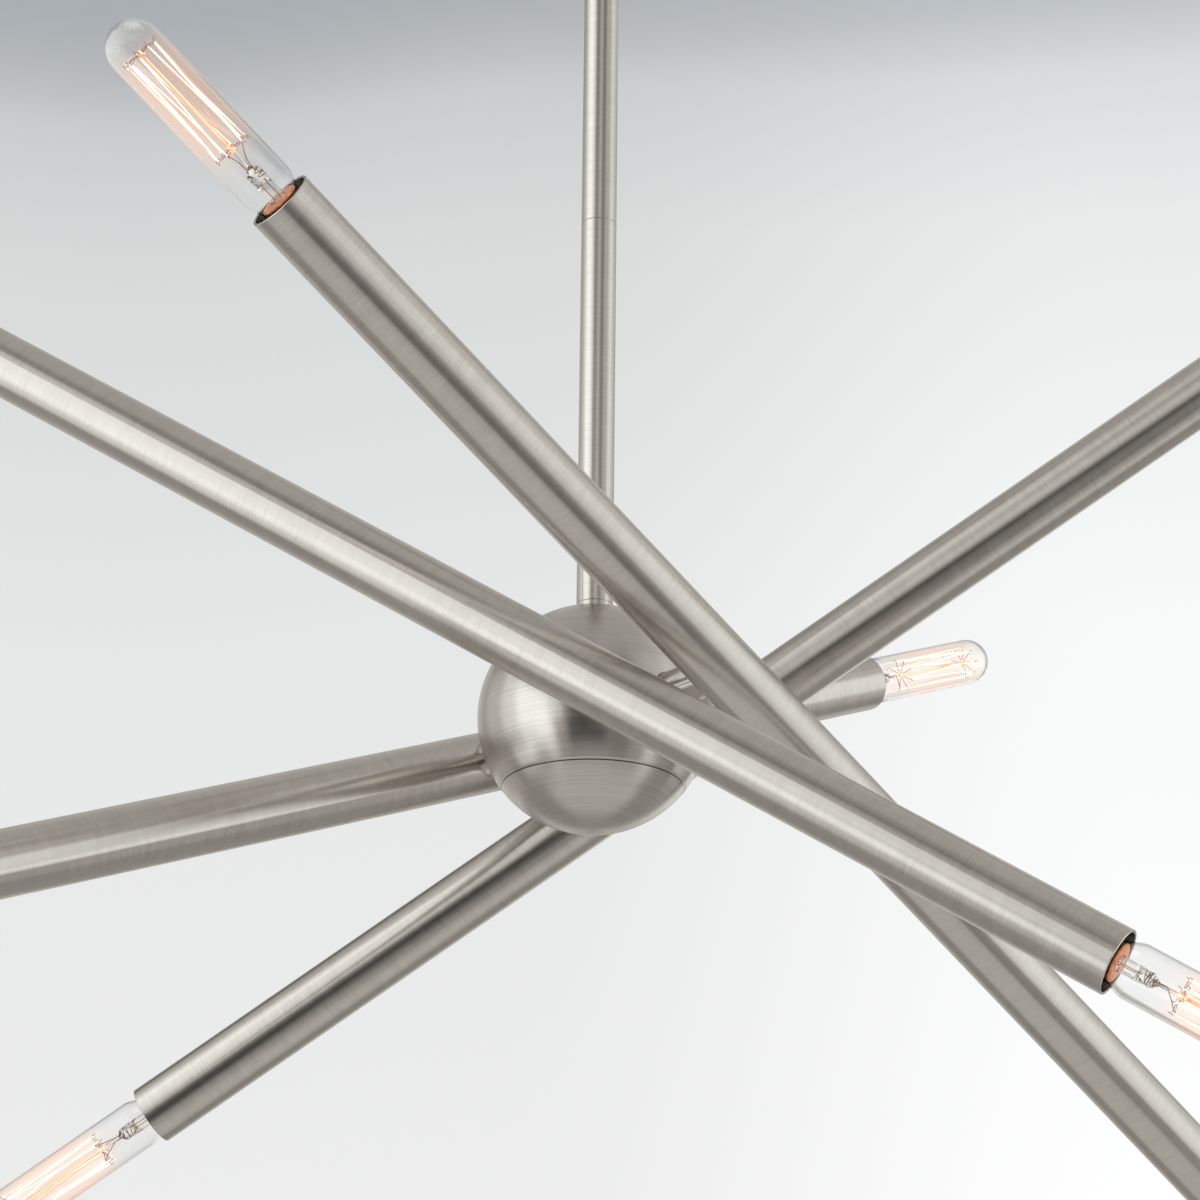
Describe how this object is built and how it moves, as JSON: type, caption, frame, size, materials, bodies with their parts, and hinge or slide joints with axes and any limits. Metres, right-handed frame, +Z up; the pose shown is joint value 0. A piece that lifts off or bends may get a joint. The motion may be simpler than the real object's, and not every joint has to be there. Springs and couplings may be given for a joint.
{
  "type": "linear chandelier",
  "caption": "Stem-hung ceiling light: a ball on a rod carries tilting tubes on short swivel necks, with a clear tubular filament lamp in each tube end.",
  "frame": {"origin": "centre of the ceiling crossbar's top face, on the ceiling plane", "axes": "+Z up, against the ceiling; X along the fixture's long direction; -Y is the front, towards the picture's camera"},
  "size_m": [1.2214, 0.6363, 1.0192],
  "materials": {
    "nickel_tube": "satin nickel plate on steel tube, fine brushing round the tube",
    "nickel_turned": "satin nickel plate, turned",
    "nickel_ball": "satin nickel plate, fine brushing round the vertical axis",
    "nickel_neck": "nickel plate, smoother than the tubes",
    "zinc_steel": "zinc plate",
    "phenolic": "moulded lamp socket",
    "brass_cap": "rolled brass screw cap",
    "clear_glass": "clear, faint amber tint",
    "lamp_mount": "glass stem with wire hooks and a lit filament"
  },
  "bodies": {
    "hanger": {"ceiling_crossbar": "zinc_steel", "canopy": "nickel_turned", "canopy_studs": "zinc_steel", "canopy_cap_nuts": "nickel_turned", "canopy_nipple": "zinc_steel", "nipple_nut": "zinc_steel", "upper_rod": "nickel_turned", "rod_coupler": "zinc_steel", "lower_rod": "nickel_turned", "ball_collar": "nickel_turned", "hub_nipple": "zinc_steel", "ball_upper": "nickel_ball", "ball_lower": "nickel_ball", "hub_core": "zinc_steel", "stop_pins": "zinc_steel"},
    "arm_front_right": {"tube_front_right": "nickel_tube", "neck_front_right": "nickel_neck", "neck_nut_front_right": "zinc_steel", "socket_front_right_short": "phenolic", "bulb_base_front_right_short": "brass_cap", "bulb_glass_front_right_short": "clear_glass", "bulb_mount_front_right_short": "lamp_mount", "socket_front_right_long": "phenolic", "bulb_base_front_right_long": "brass_cap", "bulb_glass_front_right_long": "clear_glass", "bulb_mount_front_right_long": "lamp_mount"},
    "arm_front_left": {"tube_front_left": "nickel_tube", "neck_front_left": "nickel_neck", "neck_nut_front_left": "zinc_steel", "socket_front_left_short": "phenolic", "bulb_base_front_left_short": "brass_cap", "bulb_glass_front_left_short": "clear_glass", "bulb_mount_front_left_short": "lamp_mount", "socket_front_left_long": "phenolic", "bulb_base_front_left_long": "brass_cap", "bulb_glass_front_left_long": "clear_glass", "bulb_mount_front_left_long": "lamp_mount"},
    "arm_rear_right": {"tube_rear_right": "nickel_tube", "neck_rear_right": "nickel_neck", "neck_nut_rear_right": "zinc_steel", "socket_rear_right_short": "phenolic", "bulb_base_rear_right_short": "brass_cap", "bulb_glass_rear_right_short": "clear_glass", "bulb_mount_rear_right_short": "lamp_mount", "socket_rear_right_long": "phenolic", "bulb_base_rear_right_long": "brass_cap", "bulb_glass_rear_right_long": "clear_glass", "bulb_mount_rear_right_long": "lamp_mount"},
    "arm_rear_left": {"tube_rear_left": "nickel_tube", "neck_rear_left": "nickel_neck", "neck_nut_rear_left": "zinc_steel", "socket_rear_left_short": "phenolic", "bulb_base_rear_left_short": "brass_cap", "bulb_glass_rear_left_short": "clear_glass", "bulb_mount_rear_left_short": "lamp_mount", "socket_rear_left_long": "phenolic", "bulb_base_rear_left_long": "brass_cap", "bulb_glass_rear_left_long": "clear_glass", "bulb_mount_rear_left_long": "lamp_mount"}
  },
  "joints": [
    {"name": "swivel_front_right", "type": "hinge", "parent": "hanger", "child": "arm_front_right", "pos_m": [0, 0, -0.6597], "axis": [0.4617, -0.887, 0], "range_deg": [-14.7, 10.3]},
    {"name": "swivel_front_left", "type": "hinge", "parent": "hanger", "child": "arm_front_left", "pos_m": [0, 0, -0.6597], "axis": [-0.4617, -0.887, 0], "range_deg": [-12.8, 12.2]},
    {"name": "swivel_rear_right", "type": "hinge", "parent": "hanger", "child": "arm_rear_right", "pos_m": [0, 0, -0.6597], "axis": [0.4617, 0.887, 0], "range_deg": [-12.7, 12.3]},
    {"name": "swivel_rear_left", "type": "hinge", "parent": "hanger", "child": "arm_rear_left", "pos_m": [0, 0, -0.6597], "axis": [-0.4617, 0.887, 0], "range_deg": [-23.2, 1.8]}
  ]
}
